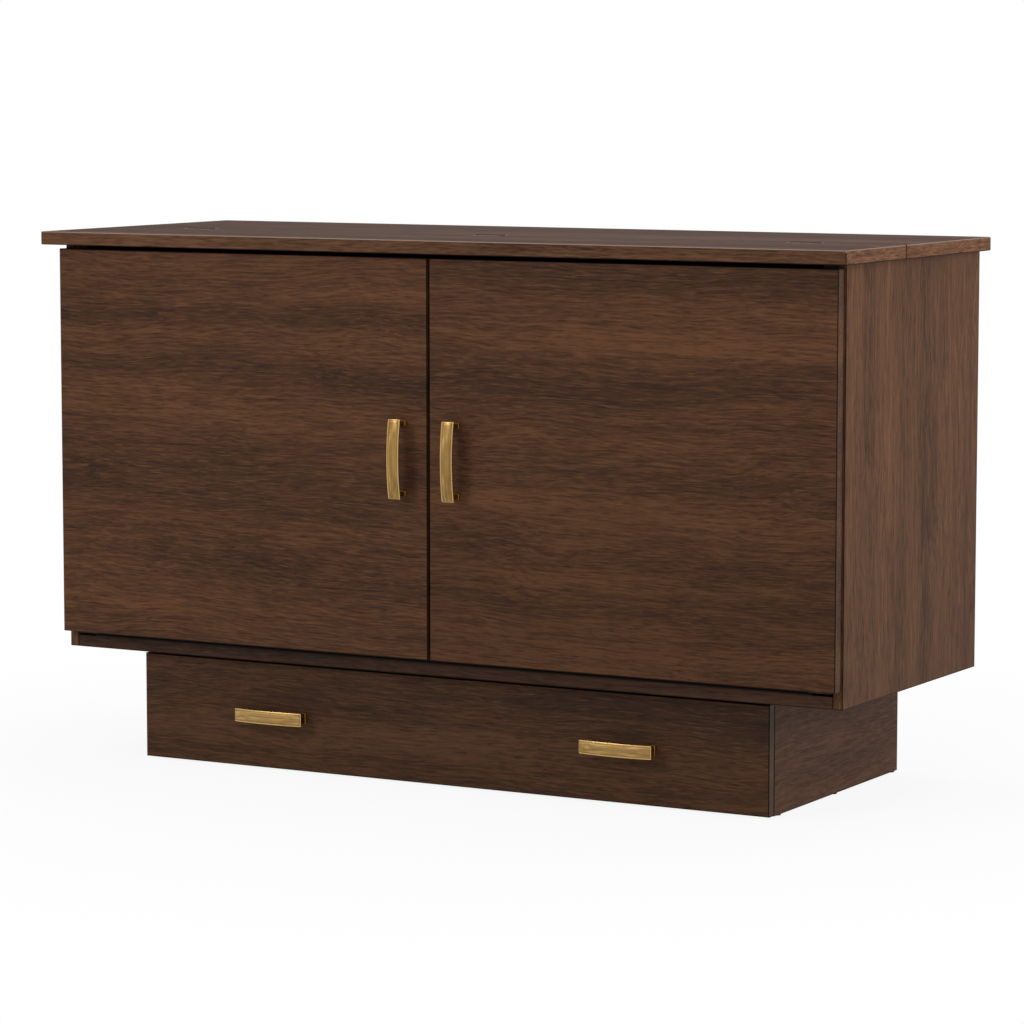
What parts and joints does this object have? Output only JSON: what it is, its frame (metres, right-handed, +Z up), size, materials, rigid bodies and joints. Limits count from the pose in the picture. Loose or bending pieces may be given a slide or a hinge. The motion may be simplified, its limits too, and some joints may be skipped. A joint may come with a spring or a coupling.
{
  "type": "cabinet bed",
  "caption": "Closed cabinet bed: wide case with a two-leaf top, a drop front dressed as two doors that becomes the bed deck, and a full-width drawer in the pedestal.",
  "frame": {"origin": "on the floor, under the middle of the closed piece's bounding box", "axes": "+Z up, +X to the right as seen from the front, +Y towards the back; the front faces -Y"},
  "size_m": [1.67, 0.651, 1.0106],
  "materials": {
    "veneer_front": "dark walnut stain, satin",
    "veneer_case": "dark walnut stain, satin",
    "veneer_top": "dark walnut stain, satin",
    "back_board": "stained board",
    "deck_wood": "planed poplar",
    "drawer_wood": "lacquered plywood",
    "felt": "dense felt",
    "brass": "brushed, lacquered",
    "dark_steel": "dark bronze lacquer",
    "zinc_steel": "zinc plated",
    "rubber": "matt",
    "nylon": "matt",
    "ticking": "woven"
  },
  "bodies": {
    "cabinet": {"side_panel_left": "veneer_case", "side_panel_right": "veneer_case", "carcass_floor": "veneer_case", "back_panel": "back_board", "top_rear": "veneer_top", "top_rail": "deck_wood", "corner_blocks": "deck_wood", "catch_magnets": "zinc_steel", "face_bumpers": "rubber", "lid_hinge_rear_leaves": "dark_steel", "front_hinge_fixed_leaf": "dark_steel", "deck_bearers": "deck_wood", "deck_slats": "deck_wood", "mattress_front": "ticking", "mattress_middle": "ticking", "mattress_rear": "ticking", "base_side_left": "veneer_case", "base_side_right": "veneer_case", "base_back": "back_board", "base_glides": "nylon", "runner_outer_left": "zinc_steel", "runner_outer_right": "zinc_steel"},
    "lid": {"lid_panel": "veneer_top", "lid_hinge_front_leaves": "dark_steel"},
    "front": {"door_face_left": "veneer_front", "door_face_right": "veneer_front", "front_pull_left": "brass", "front_pull_right": "brass", "front_pull_screws": "zinc_steel", "strike_discs": "zinc_steel", "front_stile_left": "deck_wood", "front_stile_right": "deck_wood", "front_rail_low": "deck_wood", "front_rail_top": "deck_wood", "front_slats": "deck_wood", "front_hinge_moving_leaf": "dark_steel"},
    "foot": {"foot_rail": "deck_wood", "foot_slats": "deck_wood", "foot_strap": "zinc_steel"},
    "drawer": {"drawer_front": "veneer_front", "drawer_pull_left": "brass", "drawer_pull_right": "brass", "drawer_pull_screws": "zinc_steel", "drawer_side_left": "drawer_wood", "drawer_side_right": "drawer_wood", "drawer_back": "drawer_wood", "drawer_bottom": "drawer_wood", "drawer_brace": "drawer_wood", "deck_rest_strips": "felt", "runner_inner_left": "zinc_steel", "runner_inner_right": "zinc_steel", "wheel_forks": "zinc_steel", "foot_legs": "deck_wood", "foot_leg_tips": "rubber"},
    "runners": {"runner_middle_left": "zinc_steel", "runner_middle_right": "zinc_steel"},
    "wheels": {"wheel_left": "nylon", "wheel_right": "nylon"}
  },
  "joints": [
    {"name": "lid_flip", "type": "hinge", "parent": "cabinet", "child": "lid", "pos_m": [0, -0.0615, 1.0086], "axis": [-1, 0, 0], "range_deg": [0, 180]},
    {"name": "front_drop", "type": "hinge", "parent": "cabinet", "child": "front", "pos_m": [0, -0.2645, 0.2355], "axis": [1, 0, 0], "range_deg": [0, 90]},
    {"name": "foot_deck_slide", "type": "slide", "parent": "front", "child": "foot", "axis": [0, 0, 1], "range_m": [0, 0.631]},
    {"name": "drawer_slide", "type": "slide", "parent": "cabinet", "child": "drawer", "axis": [0, -1, 0], "range_m": [0, 0.508]},
    {"name": "runner_slide", "type": "slide", "parent": "cabinet", "child": "runners", "axis": [0, -1, 0], "range_m": [0, 0.254]},
    {"name": "wheel_roll", "type": "hinge", "parent": "drawer", "child": "wheels", "pos_m": [0, -0.1455, 0.0165], "axis": [1, 0, 0], "range_deg": [0, 1820]}
  ],
  "couplings": [
    {"joint": "foot_deck_slide", "follows": "front_drop", "m_per_rad": 0.4017},
    {"joint": "runner_slide", "follows": "drawer_slide", "ratio": 0.5},
    {"joint": "wheel_roll", "follows": "drawer_slide", "rad_per_m": 62.5}
  ]
}
